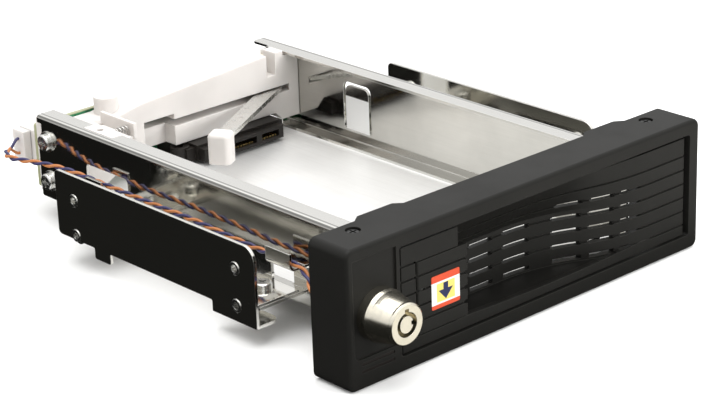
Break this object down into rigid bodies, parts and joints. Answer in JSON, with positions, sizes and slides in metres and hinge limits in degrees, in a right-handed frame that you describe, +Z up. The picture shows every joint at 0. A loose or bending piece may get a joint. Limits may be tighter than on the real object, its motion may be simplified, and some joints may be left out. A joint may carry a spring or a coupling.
{
  "type": "hot swap drive cage",
  "caption": "Trayless hot swap cage for a 3.5-inch drive in a 5.25-inch bay: vented door with finger latch and key lock, sheet steel tray, ejector arm and drive connector.",
  "frame": {"origin": "middle of the bezel's lower front edge, at the plane of the bezel's underside", "axes": "+X right along the bezel, +Y from the bezel to the back, +Z up"},
  "size_m": [0.149, 0.2013, 0.043],
  "materials": {
    "bright_sheet": "mirror-bright sheet steel with fine scuffs",
    "bracket_sheet": "plated sheet steel, satin",
    "plated_steel": "zinc plated",
    "black_moulding": "satin black moulding with a fine grain",
    "black_screw": "black oxide",
    "spring_wire": "bright spring wire",
    "lock_nickel": "polished nickel, satin face",
    "clear_bar": "translucent light bar",
    "lamp_clear": "clear lamp",
    "twisted_lead": "twisted pair, one orange and one violet-blue wire",
    "ivory_plastic": "ivory connector plastic",
    "white_plastic": "natural nylon",
    "board_green": "green solder mask",
    "black_connector": "black connector plastic",
    "gold_contact": "gold plated"
  },
  "bodies": {
    "cage": {"chassis": "bright_sheet", "left_side_bracket": "bracket_sheet", "right_side_bracket": "bracket_sheet", "left_clinch_nuts": "plated_steel", "right_clinch_nuts": "plated_steel", "tie_screws": "plated_steel", "bezel_frame": "black_moulding", "bezel_screws": "black_screw", "door_hinge_pin": "plated_steel", "lock_body": "lock_nickel", "lock_nut": "plated_steel", "led_window": "clear_bar", "lamp": "lamp_clear", "lamp_lead": "twisted_lead", "lead_header": "white_plastic", "lead_plug": "white_plastic", "rear_frame": "white_plastic", "frame_spring": "spring_wire", "frame_screws": "plated_steel", "frame_washers": "plated_steel", "ejector_pin": "plated_steel", "backplane_board": "board_green", "board_screws": "plated_steel", "drive_connector": "black_connector", "connector_contacts": "gold_contact", "data_connector": "black_connector", "power_connector": "white_plastic", "power_pins": "gold_contact", "board_header": "ivory_plastic"},
    "door": {"door_panel": "black_moulding", "door_keeper": "plated_steel", "latch_pin": "plated_steel", "latch_spring": "spring_wire"},
    "latch": {"latch_lever": "black_moulding"},
    "lock_core": {"lock_plug": "lock_nickel", "lock_cam": "plated_steel", "lock_cam_screw": "plated_steel"},
    "ejector": {"ejector_arm": "plated_steel", "ejector_bumper": "white_plastic"}
  },
  "joints": [
    {"name": "door_hinge", "type": "hinge", "parent": "cage", "child": "door", "pos_m": [0.0662, 0.0034, 0], "axis": [0, 0, 1], "range_deg": [0, 95]},
    {"name": "latch_pivot", "type": "hinge", "parent": "door", "child": "latch", "pos_m": [-0.045, 0.0024, 0], "axis": [0, 0, -1], "range_deg": [0, 22], "stiffness_Nm_per_rad": 0.01, "springref_deg": -8.59},
    {"name": "lock_turn", "type": "hinge", "parent": "cage", "child": "lock_core", "pos_m": [-0.0627, 0, 0.0212], "axis": [0, 1, 0], "range_deg": [0, 90]},
    {"name": "ejector_swing", "type": "hinge", "parent": "cage", "child": "ejector", "pos_m": [0.0437, 0.1696, 0], "axis": [0, 0, -1], "range_deg": [0, 26], "stiffness_Nm_per_rad": 0.05, "springref_deg": -11.46}
  ]
}
